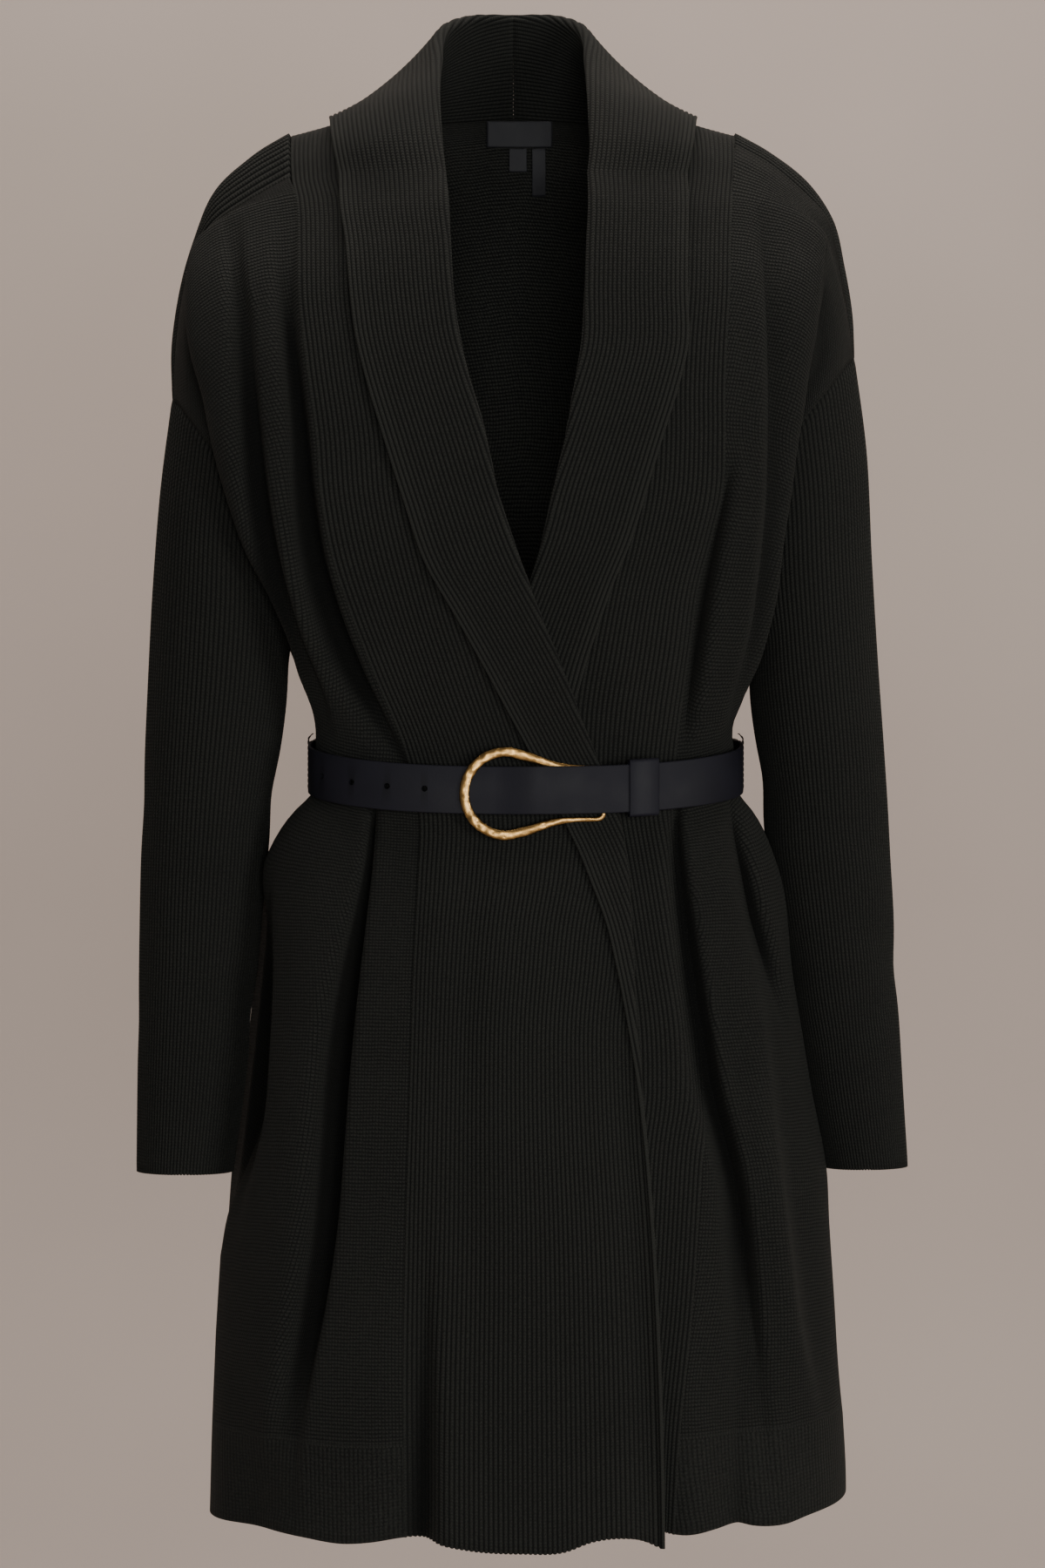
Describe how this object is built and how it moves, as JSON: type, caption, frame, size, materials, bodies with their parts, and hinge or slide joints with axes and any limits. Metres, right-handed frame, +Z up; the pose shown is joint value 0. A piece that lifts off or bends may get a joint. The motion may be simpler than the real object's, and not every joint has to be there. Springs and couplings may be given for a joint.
{
  "type": "long belted cardigan",
  "caption": "Long rib-knit cardigan with a turned shawl collar, dropped shoulders and wrapped front, closed by a narrow leather belt with a long horseshoe buckle.",
  "frame": {"origin": "middle of the wearer's neck base, between the two shoulders that carry the garment", "axes": "+Z up along the wearer's spine, the front faces -Y, the wearer's left is at +X"},
  "size_m": [0.4926, 0.2922, 0.9729],
  "materials": {
    "fine_knit": "fine purl-side knit, matt",
    "rib_knit": "ribbed knit, matt",
    "carrier_thread": "corded thread",
    "belt_leather": "smooth leather, semi-matt",
    "buckle_brass": "hammered, polished",
    "label_satin": "woven satin, bare"
  },
  "bodies": {
    "root": {"front_right": "fine_knit", "front_left": "fine_knit", "back": "fine_knit", "band_right": "rib_knit", "band_left": "rib_knit", "saddle_right": "rib_knit", "saddle_left": "rib_knit", "sleeve_right": "rib_knit", "sleeve_left": "rib_knit", "belt_carrier_right": "carrier_thread", "belt_carrier_left": "carrier_thread", "belt_strap": "belt_leather", "belt_keeper": "belt_leather", "belt_buckle": "buckle_brass", "label_main": "label_satin", "label_size": "label_satin", "label_care": "label_satin"}
  },
  "joints": []
}
